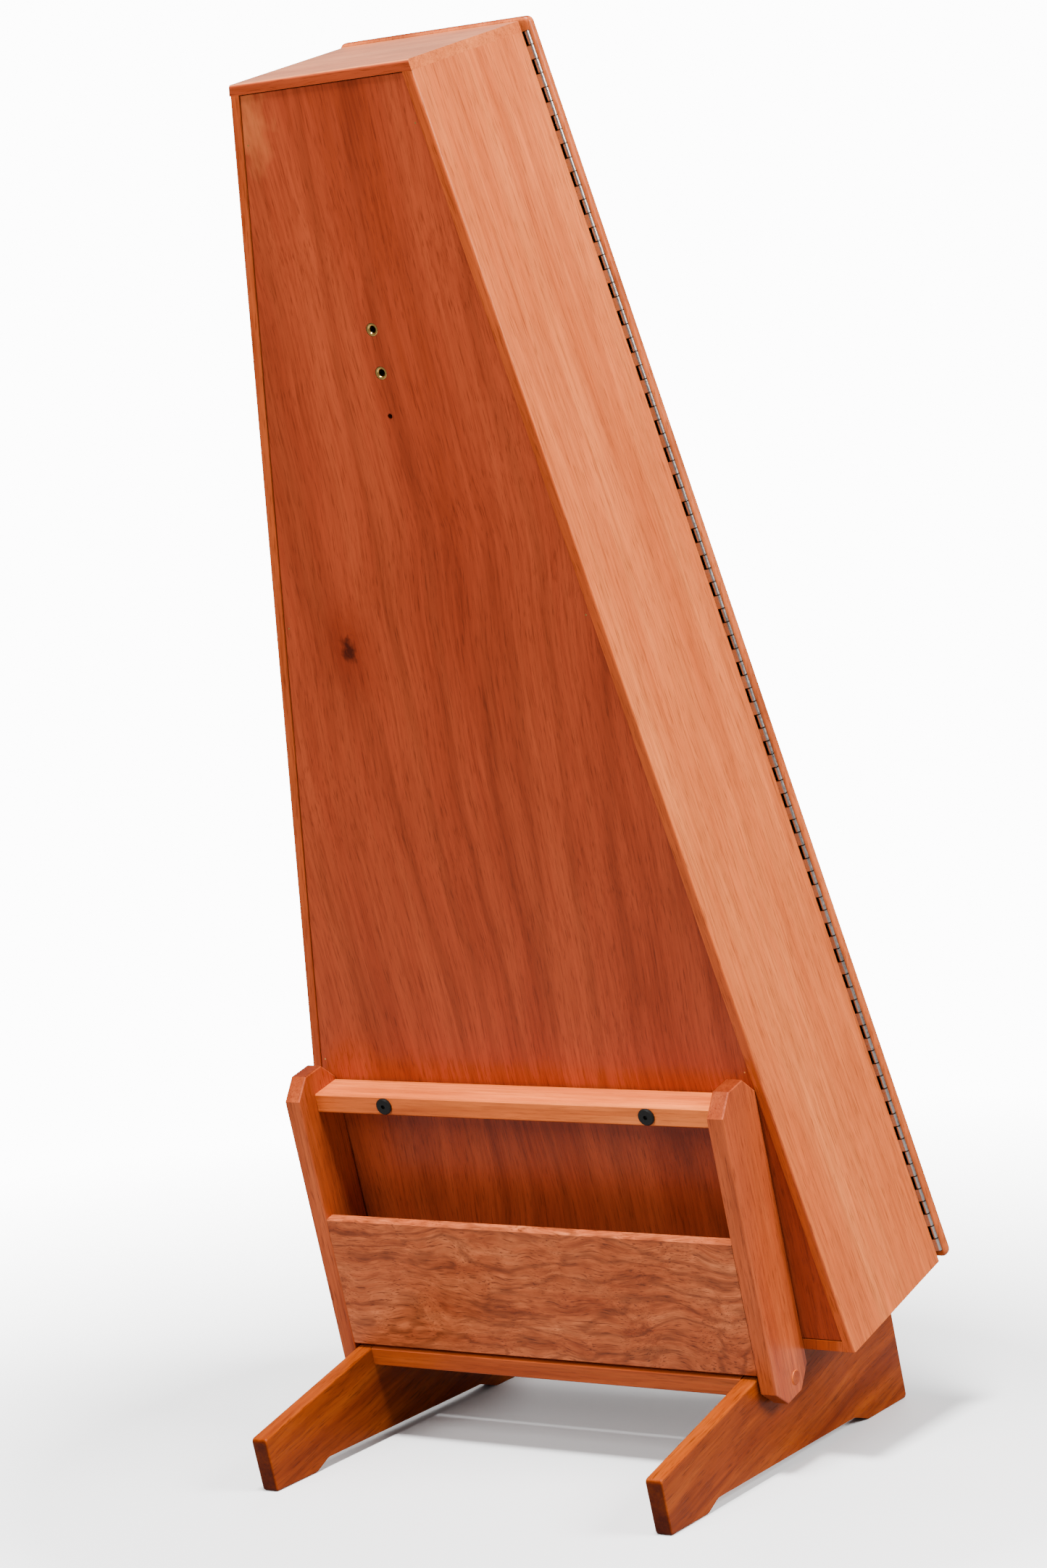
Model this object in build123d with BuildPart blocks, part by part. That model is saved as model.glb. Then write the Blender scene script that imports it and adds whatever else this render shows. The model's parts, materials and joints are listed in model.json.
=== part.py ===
from build123d import *
import os
from math import atan, cos, radians, sin

# Hammered dulcimer in a tall tapered case that leans back on a two-footed floor stand.
# Row frame: +Z up, the back of the case faces -Y, the lid faces +Y, X runs across.
# Lean frame: x across, w = depth from the back of the case to its lid, s = height along the case.

# ---- driving dimensions, mm ----
lean_angle = 13.06
base_y = 19.32            # bottom back edge of the case in the row frame
base_z = 106.18

case_bottom_width = 565.5
case_top_width = 183.9
case_height = 1172.6
case_depth = 181.5
board = 9.5
panel_recess = 1.2
panel_thickness = 6.0
panel_groove = 0.8
arris = 2.5
case_clearance = 0.3

lid_gap = 4.3
lid_thickness = 11.4
lid_overhang = 8.0
lid_bottom = 2.0
lid_top = case_height + 2.6
lid_corner = 6.0
lid_back_round = 3.5
lid_front_round = 5.5

knuckle_pitch = 12.7
knuckle_count = 92
knuckle_gap = 0.3
barrel_radius = 2.1
barrel_offset = 3.6
hinge_pin_radius = 1.15
leaf_thickness = 0.95
leaf_width = 8.8
screw_every = 6
hinge_screw_radius = 1.2
hinge_screw_length = 9.0
hinge_screw_offset = 5.0

brad_radius = 0.8
brad_length = 14.0
brad_inset = 14.5
brad_heights = (268.0, 690.0, 1120.0)
cleat = 12.0

insert_radius = 5.9
insert_length = 12.0
insert_bore = 2.6
insert_heights = (951.7, 913.6)
locating_height = 875.5
locating_radius = 2.4
backing_width = 70.0
backing_depth = 18.0

block_width = 44.0
block_front = 110.0
block_depth = 46.0
rail_height = 24.0
board_front = 108.0
soundboard_thickness = 4.0
fit_gap = 0.3
brace_depth = 18.0
brace_width = 10.0
brace_heights = (150.0, 330.0, 510.0, 690.0, 870.0, 1040.0)
rose_radius = 30.0
rose_heights = (240.0, 600.0)

course_pitch = 22.5
course_bottom = 66.0
course_count = 46
string_radius = 0.35
string_pair = 5.0
side_bridge_width = 9.0
side_bridge_top = 118.0
bridge_width = 16.0
rail_top = 117.0
saddle_top = 127.0
saddle_width = 11.0
treble_place = -0.20
bass_place = 0.50
pin_radius = 2.5
pin_depth = 30.0
pin_height = 13.0
pin_hole_gap = 0.05
rose_gap = 0.2
side_bridge_chamfer = 4.0
saddle_chamfer = 4.8
string_lift = 0.6
felt_end = 6.0
hinge_screw_head = 2.2
hinge_pin_fit = 0.05
leaf_notch = 1.0
pivot_washer_radius = 10.0
foot_arris = 2.0
relief_round = 14.0
panel_back = -62.0

stand_half_width = 214.7
foot_thickness = 16.3
foot_toe = -241.5
foot_heel = 197.0
foot_corner = 4.0
relief_height = 9.5
toe_pad_end = -143.0
toe_relief = -122.0
heel_relief = 138.0
heel_pad_start = 169.0
washer_thickness = 1.5
upright_thickness = 16.2
upright_depth = 62.2
upright_bottom = -31.6
upright_top = 270.0
upright_chamfer = 18.0
upright_arris = 1.5
crossbar_bottom = 230.5
crossbar_top = 248.8
crossbar_depth = 36.3
crossbar_arris = 1.2
panel_bottom = 3.2
panel_top = 132.5
stand_panel_thickness = 12.0
stand_panel_arris = 1.2
stretcher_depth = 57.0
stretcher_thickness = 18.0
dowel_radius = 4.0
dowel_half = 11.0

bolt_side = 140.0
bolt_head_radius = 8.0
bolt_head_height = 2.6
bolt_radius = 3.1
bolt_engagement = 13.0
bolt_hex = 2.3
bolt_hole_gap = 0.2
bolt_head_chamfer = 1.0
bolt_s = 239.6
magnet_radius = 3.2
magnet_depth = 4.0
magnet_heights = (290.0, 590.0, 890.0)
strike_radius = 4.2
strike_thickness = 1.5
felt_thickness = 3.9
felt_width = 7.0

pivot_s = -15.4
pivot_w = -25.0
pivot_radius = 4.0
pivot_head_radius = 6.0
pivot_head_height = 4.0
plug_radius = 6.8
plug_depth = 4.0
plug_proud = 1.0

# ---- derived geometry ----
lean_cos = cos(radians(lean_angle))
lean_sin = sin(radians(lean_angle))
taper = (case_bottom_width - case_top_width) / 2 / case_height
slant = atan(taper)
board_across = board / cos(slant)
inner_height = case_height - board
stand_inner = stand_half_width - foot_thickness
upright_inner = stand_half_width + washer_thickness
lid_back = case_depth + lid_gap
panel_front = panel_recess + panel_thickness
board_back = board_front - soundboard_thickness
block_back = block_front - block_depth
edge_length = case_height / cos(slant)
hinge_start = (edge_length - knuckle_count * knuckle_pitch) / 2
hinge_length = knuckle_count * knuckle_pitch

os.makedirs("parts", exist_ok=True)


def place(x, w, s):
    """A lean-frame point in the row frame."""
    return Vector(x, base_y + w * lean_cos - s * lean_sin, base_z + w * lean_sin + s * lean_cos)


across = Vector(1, 0, 0)
depthwise = Vector(0, lean_cos, lean_sin)
upward = Vector(0, -lean_sin, lean_cos)
outward = across * cos(slant) + upward * sin(slant)
along = upward * cos(slant) - across * sin(slant)
lean = Plane(origin=place(0, 0, 0), x_dir=across, z_dir=upward)


def back_face(w):
    """Plane parallel to the back of the case, local (x, s); negative extrusions go towards the lid."""
    return Plane(origin=place(0, w, 0), x_dir=across, z_dir=depthwise * -1)


def side_face(x):
    """Plane across the case at x, local (w, s)."""
    return Plane(origin=place(x, 0, 0), x_dir=depthwise, z_dir=across)


def half_width(s):
    """Half the outer width of the case at height s."""
    return case_bottom_width / 2 - taper * s


def inner_half(s):
    """Half the width between the side boards at height s."""
    return half_width(s) - board_across


def field_half(s):
    """Half the width between the two pin blocks at height s."""
    return inner_half(s) - block_width


def taper_outline(low, high, half, shrink=0.0):
    """Closed corner list of a symmetric tapered board from s = low to s = high."""
    return [
        (-half(low) + shrink, low),
        (half(low) - shrink, low),
        (half(high) - shrink, high),
        (-half(high) + shrink, high),
    ]


def strip_outline(side, low, high, outer, inner):
    """Closed corner list of a strip that follows one slanted side."""
    return [
        (side * outer(low), low),
        (side * inner(low), low),
        (side * inner(high), high),
        (side * outer(high), high),
    ]


def lean_of(shape):
    """Centre of a face or edge in the lean frame."""
    return lean.to_local_coords(shape.center())


def save(part, name):
    part.label = name
    export_step(part, f"parts/{name}.step")


def course_s(index):
    """Height of a string course above the bottom of the case."""
    return course_bottom + course_pitch * index


def seat_face(w):
    """Plane at depth w with local (outward from the right side's slanted face, along that side)."""
    return Plane(origin=place(half_width(0), w, 0), x_dir=outward, z_dir=depthwise * -1)


# Even courses cross the treble bridge, odd courses the bass bridge; each course is a pair.
courses = [(course_s(i), treble_place if i % 2 == 0 else bass_place) for i in range(course_count)]
string_rows = [(s + pair, bridge) for s, bridge in courses for pair in (-string_pair / 2, string_pair / 2)]
hitch_points = []
tuning_points = []
for number, (s, bridge) in enumerate(string_rows):
    stagger = 14.0 if number % 2 == 0 else 26.0
    hitch_points.append((-inner_half(s) + stagger, s))
    tuning_points.append((inner_half(s) - stagger, s))

knuckle_middles = [hinge_start + knuckle_pitch * (k + 0.5) for k in range(knuckle_count)]
case_screws = [(-hinge_screw_offset, knuckle_middles[k]) for k in range(0, knuckle_count, screw_every)]
lid_screws = [(-hinge_screw_offset, knuckle_middles[k]) for k in range(3, knuckle_count, screw_every)]
brad_spots = [(side * (half_width(s) - brad_inset), s) for side in (-1, 1) for s in brad_heights]
insert_spots = [(0, s) for s in insert_heights]
bolt_spots = [(-bolt_side, bolt_s), (bolt_side, bolt_s)]
magnet_spots = [(-half_width(s) + board_across / 2, s) for s in magnet_heights]

# ---- case ----
for side, name in ((-1, "left_side_board"), (1, "right_side_board")):
    with BuildPart() as side_board:
        with BuildSketch(back_face(0)):
            with BuildLine():
                Polyline(strip_outline(side, 0, inner_height, half_width, inner_half), close=True)
            make_face()
        extrude(amount=-case_depth)
        outer_edges = side_board.edges().filter_by(lambda e: e.length > 1000).sort_by(
            lambda e: side * lean_of(e).X)[-2:]
        fillet(outer_edges.sort_by(lambda e: lean_of(e).Y)[0], radius=arris)
        if side == 1:
            with BuildSketch(seat_face(case_depth)):
                with Locations(case_screws):
                    Circle(hinge_screw_radius)
            extrude(amount=hinge_screw_length, mode=Mode.SUBTRACT)
        else:
            with BuildSketch(back_face(case_depth)):
                with Locations(magnet_spots):
                    Circle(magnet_radius)
            extrude(amount=magnet_depth, mode=Mode.SUBTRACT)
    save(side_board.part, name)

with BuildPart() as top_board:
    with BuildSketch(back_face(0)):
        with BuildLine():
            Polyline(taper_outline(inner_height, case_height, half_width), close=True)
        make_face()
    extrude(amount=-case_depth)
    top_edges = top_board.edges().filter_by(Axis.X).sort_by(lambda e: lean_of(e).Z)[-2:]
    fillet(top_edges.sort_by(lambda e: lean_of(e).Y)[0], radius=arris)
save(top_board.part, "top_board")

with BuildPart() as bottom_board:
    with BuildSketch(back_face(0)):
        with BuildLine():
            Polyline(taper_outline(0, board, inner_half), close=True)
        make_face()
    extrude(amount=-case_depth)
save(bottom_board.part, "bottom_board")

with BuildPart() as back_panel:
    with BuildSketch(back_face(panel_recess)):
        with BuildLine():
            Polyline(taper_outline(
                board + panel_groove, inner_height - panel_groove, inner_half, panel_groove), close=True)
        make_face()
        with Locations(insert_spots + bolt_spots):
            Circle(insert_radius, mode=Mode.SUBTRACT)
        with Locations((0, locating_height)):
            Circle(locating_radius, mode=Mode.SUBTRACT)
        with Locations(brad_spots):
            Circle(brad_radius, mode=Mode.SUBTRACT)
    extrude(amount=-panel_thickness)
save(back_panel.part, "back_panel")

with BuildPart() as back_brads:
    with BuildSketch(back_face(panel_recess)):
        with Locations(brad_spots):
            Circle(brad_radius)
    extrude(amount=-brad_length)
save(back_brads.part, "back_brads")

for side, name in ((-1, "left_back_cleat"), (1, "right_back_cleat")):
    with BuildPart() as side_cleat:
        with BuildSketch(back_face(panel_front)):
            with BuildLine():
                Polyline(strip_outline(
                    side, board, inner_height, inner_half, lambda s: inner_half(s) - cleat), close=True)
            make_face()
            with Locations(brad_spots):
                Circle(brad_radius, mode=Mode.SUBTRACT)
        extrude(amount=-cleat)
    save(side_cleat.part, name)

for low, name in ((board, "bottom_back_cleat"), (inner_height - cleat, "top_back_cleat")):
    with BuildPart() as end_cleat:
        with BuildSketch(back_face(panel_front)):
            with BuildLine():
                Polyline(taper_outline(low, low + cleat, inner_half, cleat + fit_gap), close=True)
            make_face()
        extrude(amount=-cleat)
    save(end_cleat.part, name)

# ---- threaded inserts and their backing blocks ----
with BuildPart() as accessory_backing_block:
    with BuildSketch(back_face(panel_front)):
        with Locations((0, (insert_heights[0] + locating_height) / 2)):
            Rectangle(backing_width, insert_heights[0] - locating_height + backing_width / 2)
        with Locations(insert_spots):
            Circle(insert_radius, mode=Mode.SUBTRACT)
        with Locations((0, locating_height)):
            Circle(locating_radius, mode=Mode.SUBTRACT)
    extrude(amount=-backing_depth)
save(accessory_backing_block.part, "accessory_backing_block")

with BuildPart() as crossbar_backing_block:
    with BuildSketch(back_face(panel_front)):
        with Locations((0, bolt_s)):
            Rectangle(2 * bolt_side + backing_width, backing_width / 2)
        with Locations(bolt_spots):
            Circle(insert_radius, mode=Mode.SUBTRACT)
    extrude(amount=-backing_depth)
save(crossbar_backing_block.part, "crossbar_backing_block")

for spots, bore, name in ((insert_spots, insert_bore, "accessory_inserts"),
                          (bolt_spots, bolt_radius, "crossbar_inserts")):
    with BuildPart() as inserts:
        with BuildSketch(back_face(panel_recess)):
            with Locations(spots):
                Circle(insert_radius)
                Circle(bore, mode=Mode.SUBTRACT)
        extrude(amount=-insert_length)
    save(inserts.part, name)

# ---- soundbox and strings ----
for side, name in ((-1, "hitch_pin_block"), (1, "tuning_pin_block")):
    spots = hitch_points if side == -1 else tuning_points
    with BuildPart() as pin_block:
        with BuildSketch(back_face(block_back)):
            with BuildLine():
                Polyline(strip_outline(
                    side, board + fit_gap, inner_height - fit_gap, inner_half, field_half), close=True)
            make_face()
        extrude(amount=-block_depth)
        with BuildSketch(back_face(block_front)):
            with Locations(spots):
                Circle(pin_radius + pin_hole_gap)
        extrude(amount=pin_depth, mode=Mode.SUBTRACT)
    save(pin_block.part, name)

for spots, name in ((hitch_points, "hitch_pins"), (tuning_points, "tuning_pins")):
    with BuildPart() as pins:
        with BuildSketch(back_face(block_front - pin_depth)):
            with Locations(spots):
                Circle(pin_radius)
        extrude(amount=-(pin_depth + pin_height))
    save(pins.part, name)

for low, name in ((board + fit_gap, "bottom_rail"), (inner_height - rail_height - fit_gap, "top_rail")):
    with BuildPart() as rail:
        with BuildSketch(back_face(block_back)):
            with BuildLine():
                Polyline(taper_outline(low, low + rail_height, field_half, fit_gap), close=True)
            make_face()
        extrude(amount=-(board_back - block_back))
    save(rail.part, name)

rose_spots = [((treble_place + bass_place) / 2 * field_half(s), s) for s in rose_heights]
with BuildPart() as soundboard:
    with BuildSketch(back_face(board_back)):
        with BuildLine():
            Polyline(taper_outline(board + fit_gap, inner_height - fit_gap, field_half, fit_gap), close=True)
        make_face()
        with Locations(rose_spots):
            Circle(rose_radius, mode=Mode.SUBTRACT)
    extrude(amount=-soundboard_thickness)
save(soundboard.part, "soundboard")

with BuildPart() as rosettes:
    with BuildSketch(back_face(board_back)):
        with Locations(rose_spots):
            Circle(rose_radius - rose_gap)
            with PolarLocations(rose_radius * 0.6, 8):
                Circle(rose_radius * 0.17, mode=Mode.SUBTRACT)
            Circle(rose_radius * 0.25, mode=Mode.SUBTRACT)
    extrude(amount=-soundboard_thickness)
save(rosettes.part, "rosettes")

with BuildPart() as soundboard_braces:
    for height in brace_heights:
        with BuildSketch(back_face(board_back)):
            with BuildLine():
                Polyline(taper_outline(
                    height - brace_width / 2, height + brace_width / 2, field_half, fit_gap), close=True)
            make_face()
        extrude(amount=brace_depth)
save(soundboard_braces.part, "soundboard_braces")

for side, name in ((-1, "left_side_bridge"), (1, "right_side_bridge")):
    with BuildPart() as side_bridge:
        with BuildSketch(back_face(block_front)):
            with BuildLine():
                Polyline(strip_outline(side, board + rail_height, inner_height - rail_height,
                                       lambda s: field_half(s) + side_bridge_width,
                                       lambda s: field_half(s) + fit_gap), close=True)
            make_face()
        extrude(amount=-(side_bridge_top - block_front))
        crest = side_bridge.faces().sort_by(lambda f: lean_of(f).Y)[-1]
        chamfer(crest.edges().filter_by(lambda e: e.length > 1000), length=side_bridge_chamfer)
    save(side_bridge.part, name)

for bridge, name in ((treble_place, "treble_bridge"), (bass_place, "bass_bridge")):
    rows = [s for s, crossing in courses if crossing == bridge]
    low = rows[0] - bridge_width
    high = rows[-1] + bridge_width
    with BuildPart() as bridge_rail:
        with BuildSketch(back_face(board_front)):
            with BuildLine():
                Polyline([(bridge * field_half(low) - bridge_width / 2, low),
                          (bridge * field_half(low) + bridge_width / 2, low),
                          (bridge * field_half(high) + bridge_width / 2, high),
                          (bridge * field_half(high) - bridge_width / 2, high)], close=True)
            make_face()
        extrude(amount=-(rail_top - board_front))
    save(bridge_rail.part, name)

    with BuildPart() as saddles:
        with BuildSketch(back_face(rail_top)):
            with Locations([(bridge * field_half(s), s) for s in rows]):
                Rectangle(saddle_width, bridge_width)
        extrude(amount=-(saddle_top - rail_top))
        crests = saddles.faces().group_by(lambda f: round(lean_of(f).Y, 2))[-1]
        crest_edges = crests.edges().filter_by(lambda e: abs(e.length - bridge_width) < 0.01)
        chamfer(crest_edges, length=saddle_chamfer)
    save(saddles.part, name + "_saddles")

for bridge, name in ((treble_place, "treble_strings"), (bass_place, "bass_strings")):
    wires = []
    for number, (s, crossing) in enumerate(string_rows):
        if crossing != bridge:
            continue
        start_x = hitch_points[number][0] + pin_radius + string_radius
        end_x = tuning_points[number][0] - pin_radius - string_radius
        side_x = field_half(s) + side_bridge_width / 2
        route = [
            place(start_x, block_front + pin_height / 3, s),
            place(-side_x, side_bridge_top + string_lift, s),
            place(bridge * field_half(s), saddle_top + string_lift, s),
            place(side_x, side_bridge_top + string_lift, s),
            place(end_x, block_front + pin_height / 3, s),
        ]
        with BuildPart() as string:
            with BuildLine():
                path = Polyline(route)
            with BuildSketch(Plane(origin=route[0], z_dir=path % 0)):
                Circle(string_radius)
            sweep(path=path, transition=Transition.RIGHT)
        wires.append(string.part)
    save(Compound(children=wires), name)

# ---- lid, hinge and catches ----
with BuildPart() as lid_panel:
    with BuildSketch(back_face(lid_back)):
        with BuildLine():
            Polyline(taper_outline(lid_bottom, lid_top, half_width, -lid_overhang), close=True)
        make_face()
        fillet(vertices(), radius=lid_corner)
    extrude(amount=-lid_thickness)
    fillet(lid_panel.faces().sort_by(lambda f: lean_of(f).Y)[0].edges(), radius=lid_back_round)
    fillet(lid_panel.faces().sort_by(lambda f: lean_of(f).Y)[-1].edges(), radius=lid_front_round)
    with BuildSketch(seat_face(lid_back)):
        with Locations(lid_screws):
            Circle(hinge_screw_radius)
    extrude(amount=-hinge_screw_length, mode=Mode.SUBTRACT)
    with BuildSketch(back_face(lid_back)):
        with Locations(magnet_spots):
            Circle(strike_radius)
    extrude(amount=-strike_thickness, mode=Mode.SUBTRACT)
save(lid_panel.part, "lid_panel")

hinge_centre = case_depth + lid_gap / 2
hinge_end = place(half_width(0), hinge_centre, 0) + along * hinge_start
hinge_foot = Plane(origin=hinge_end, x_dir=outward, z_dir=along)
leaf_inset = lid_gap / 2 - leaf_thickness / 2
notch_length = knuckle_pitch + knuckle_gap
notch_span = barrel_offset + barrel_radius + 2 * leaf_notch
for first_notch, facing, screws, name in ((1, -1, case_screws, "hinge_case_leaf"),
                                          (0, 1, lid_screws, "hinge_lid_leaf")):
    with BuildPart() as leaf:
        with BuildSketch(hinge_foot):
            with Locations(((barrel_offset - leaf_width) / 2, facing * leaf_inset)):
                Rectangle(leaf_width + barrel_offset, leaf_thickness)
            with Locations((barrel_offset, 0)):
                Circle(barrel_radius)
                Circle(hinge_pin_radius, mode=Mode.SUBTRACT)
        extrude(amount=hinge_length)
        with BuildSketch(seat_face(lid_back)):
            for k in range(first_notch, knuckle_count, 2):
                with Locations((notch_span / 2 - leaf_notch, knuckle_middles[k])):
                    Rectangle(notch_span, notch_length)
        extrude(amount=lid_gap, mode=Mode.SUBTRACT)
        with BuildSketch(seat_face(hinge_centre)):
            with Locations(screws):
                Circle(hinge_screw_head)
        extrude(amount=-facing * lid_gap, mode=Mode.SUBTRACT)
    save(leaf.part, name)

with BuildPart() as hinge_pin:
    with BuildSketch(hinge_foot):
        with Locations((barrel_offset, 0)):
            Circle(hinge_pin_radius - hinge_pin_fit)
    extrude(amount=hinge_length)
save(hinge_pin.part, "hinge_pin")

for seat, facing, screws, name in ((case_depth, 1, case_screws, "hinge_case_screws"),
                                   (lid_back, -1, lid_screws, "hinge_lid_screws")):
    with BuildPart() as hinge_screws:
        with BuildSketch(seat_face(seat)):
            with Locations(screws):
                Circle(hinge_screw_radius)
        extrude(amount=facing * hinge_screw_length)
        with BuildSketch(seat_face(seat)):
            with Locations(screws):
                Circle(hinge_screw_head)
        extrude(amount=-facing * leaf_thickness)
    save(hinge_screws.part, name)

with BuildPart() as lid_magnets:
    with BuildSketch(back_face(case_depth - magnet_depth)):
        with Locations(magnet_spots):
            Circle(magnet_radius)
    extrude(amount=-(magnet_depth + felt_thickness))
save(lid_magnets.part, "lid_magnets")

with BuildPart() as lid_strike_plates:
    with BuildSketch(back_face(lid_back)):
        with Locations(magnet_spots):
            Circle(strike_radius)
    extrude(amount=-strike_thickness)
save(lid_strike_plates.part, "lid_strike_plates")

with BuildPart() as rim_felt:
    stops = [board, *magnet_heights, inner_height]
    for low, high in zip(stops[:-1], stops[1:]):
        with BuildSketch(back_face(case_depth)):
            with BuildLine():
                Polyline(strip_outline(-1, low + felt_end, high - felt_end,
                                       lambda s: inner_half(s) + felt_width, lambda s: inner_half(s) + 1),
                         close=True)
            make_face()
        extrude(amount=-felt_thickness)
    for low in (1, case_height - board + 1):
        with BuildSketch(back_face(case_depth)):
            with BuildLine():
                Polyline(taper_outline(low, low + felt_width, inner_half, felt_end), close=True)
            make_face()
        extrude(amount=-felt_thickness)
save(rim_felt.part, "rim_felt")

# ---- stand ----
foot_top = -case_clearance


def outline_point(w, s):
    """Lean-frame point as (y, z)."""
    spot = place(0, w, s)
    return spot.Y, spot.Z


def floor_point(w):
    """Where a cut at depth w meets the floor, as (y, z)."""
    return outline_point(w, -(base_z + w * lean_sin) / lean_cos)


for side, name in ((-1, "left_foot"), (1, "right_foot")):
    inner_x = side * stand_inner
    with BuildPart() as foot:
        with BuildSketch(Plane.YZ.offset(inner_x)):
            with BuildLine():
                Polyline([
                    outline_point(foot_toe, foot_top),
                    outline_point(foot_heel, foot_top),
                    floor_point(foot_heel),
                    (heel_pad_start, 0),
                    (heel_relief, relief_height),
                    (toe_relief, relief_height),
                    (toe_pad_end, 0),
                    floor_point(foot_toe),
                ], close=True)
            make_face()
            fillet(vertices().sort_by(Axis.X)[:2], radius=foot_corner)
            fillet(vertices().sort_by(Axis.X)[-2:], radius=foot_corner)
            relief_corners = vertices().filter_by_position(Axis.Y, relief_height - 0.1, relief_height + 0.1)
            fillet(relief_corners, radius=relief_round)
        extrude(amount=side * foot_thickness)
        long_top = foot.edges().filter_by(lambda e: abs(lean_of(e).Z - foot_top) < 0.01 and e.length > 300)
        fillet(long_top, radius=foot_arris)
        with BuildSketch(side_face(side * stand_half_width)):
            with Locations((pivot_w, pivot_s)):
                Circle(pivot_radius)
        extrude(amount=-side * foot_thickness, mode=Mode.SUBTRACT)
    save(foot.part, name)

    with BuildPart() as upright:
        with BuildSketch(side_face(side * upright_inner)):
            with Locations((-upright_depth / 2 - case_clearance, (upright_bottom + upright_top) / 2)):
                Rectangle(upright_depth, upright_top - upright_bottom)
            chamfer(vertices(), length=upright_chamfer)
        extrude(amount=side * upright_thickness)
        for face_x in (upright_inner, upright_inner + upright_thickness):
            rim = upright.edges().filter_by(lambda e: abs(abs(lean_of(e).X) - face_x) < 0.01)
            fillet(rim, radius=upright_arris)
        with BuildSketch(side_face(side * upright_inner)):
            with Locations((pivot_w, pivot_s)):
                Circle(pivot_radius)
        extrude(amount=side * upright_thickness, mode=Mode.SUBTRACT)
        with BuildSketch(side_face(side * (upright_inner + upright_thickness))):
            with Locations((pivot_w, pivot_s)):
                Circle(plug_radius)
        extrude(amount=-side * (plug_depth + pivot_head_height), mode=Mode.SUBTRACT)
    save(upright.part, name.replace("foot", "upright"))

with BuildPart() as pivot_washers:
    for side in (-1, 1):
        with BuildSketch(side_face(side * stand_half_width)):
            with Locations((pivot_w, pivot_s)):
                Circle(pivot_washer_radius)
                Circle(pivot_radius, mode=Mode.SUBTRACT)
        extrude(amount=side * washer_thickness)
save(pivot_washers.part, "pivot_washers")

with BuildPart() as pivot_bolts:
    for side in (-1, 1):
        with BuildSketch(side_face(side * stand_inner)):
            with Locations((pivot_w, pivot_s)):
                Circle(pivot_radius - pin_hole_gap)
        extrude(amount=side * (foot_thickness + washer_thickness + upright_thickness - plug_depth))
        with BuildSketch(side_face(side * (upright_inner + upright_thickness - plug_depth))):
            with Locations((pivot_w, pivot_s)):
                Circle(pivot_head_radius)
        extrude(amount=-side * pivot_head_height)
save(pivot_bolts.part, "pivot_bolts")

with BuildPart() as wood_plugs:
    for side in (-1, 1):
        with BuildSketch(side_face(side * (upright_inner + upright_thickness - plug_depth))):
            with Locations((pivot_w, pivot_s)):
                Circle(plug_radius)
        extrude(amount=side * (plug_depth + plug_proud))
    caps = wood_plugs.faces().filter_by(GeomType.PLANE).sort_by(lambda f: abs(lean_of(f).X))[-2:]
    fillet(caps.edges(), radius=plug_proud * 0.9)
save(wood_plugs.part, "wood_plugs")

bar_middle = (crossbar_bottom + crossbar_top) / 2
rail_middle = foot_top - stretcher_thickness / 2
panel_middle = panel_back + stand_panel_thickness / 2
dowel_rows = [
    (upright_inner, -crossbar_depth * 0.25, bar_middle),
    (upright_inner, -crossbar_depth * 0.75, bar_middle),
    (upright_inner, panel_middle, panel_bottom + 30),
    (upright_inner, panel_middle, panel_top - 30),
    (stand_inner, panel_back + stretcher_depth * 0.2, rail_middle),
    (stand_inner, panel_back + stretcher_depth * 0.85, rail_middle),
]

with BuildPart() as frame_dowels:
    for joint_x, w, s in dowel_rows:
        for side in (-1, 1):
            with BuildSketch(side_face(side * (joint_x - dowel_half))):
                with Locations((w, s)):
                    Circle(dowel_radius)
            extrude(amount=side * 2 * dowel_half)
save(frame_dowels.part, "frame_dowels")

with BuildPart() as crossbar:
    with BuildSketch(side_face(-upright_inner)):
        with Locations((-crossbar_depth / 2 - case_clearance, bar_middle)):
            Rectangle(crossbar_depth, crossbar_top - crossbar_bottom)
        chamfer(vertices(), length=crossbar_arris)
    extrude(amount=2 * upright_inner)
    with BuildSketch(back_face(-crossbar_depth - case_clearance)):
        with Locations(bolt_spots):
            Circle(bolt_radius + bolt_hole_gap)
    extrude(amount=-crossbar_depth, mode=Mode.SUBTRACT)
save(crossbar.part, "crossbar")

with BuildPart() as stand_panel:
    with BuildSketch(side_face(-upright_inner)):
        with Locations((panel_middle, (panel_bottom + panel_top) / 2)):
            Rectangle(stand_panel_thickness, panel_top - panel_bottom)
        chamfer(vertices(), length=stand_panel_arris)
    extrude(amount=2 * upright_inner)
save(stand_panel.part, "stand_panel")

with BuildPart() as stretcher:
    with BuildSketch(side_face(-stand_inner)):
        with Locations((panel_back + stretcher_depth / 2, rail_middle)):
            Rectangle(stretcher_depth, stretcher_thickness)
        chamfer(vertices(), length=stand_panel_arris)
    extrude(amount=2 * stand_inner)
save(stretcher.part, "stretcher")

with BuildPart() as crossbar_bolts:
    head_seat = -crossbar_depth - case_clearance
    with BuildSketch(back_face(head_seat)):
        with Locations(bolt_spots):
            Circle(bolt_radius)
    extrude(amount=-(crossbar_depth + case_clearance + bolt_engagement))
    with BuildSketch(back_face(head_seat)):
        with Locations(bolt_spots):
            Circle(bolt_head_radius)
    extrude(amount=bolt_head_height)
    rims = crossbar_bolts.faces().group_by(lambda f: round(lean_of(f).Y, 2))[0]
    chamfer(rims.edges(), length=bolt_head_chamfer)
    with BuildSketch(back_face(head_seat - bolt_head_height)):
        with Locations(bolt_spots):
            RegularPolygon(bolt_hex, 6)
    extrude(amount=-bolt_head_height * 0.8, mode=Mode.SUBTRACT)
save(crossbar_bolts.part, "crossbar_bolts")
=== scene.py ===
import json
import math

import bmesh
import bpy
from mathutils import Matrix, Vector


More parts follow.
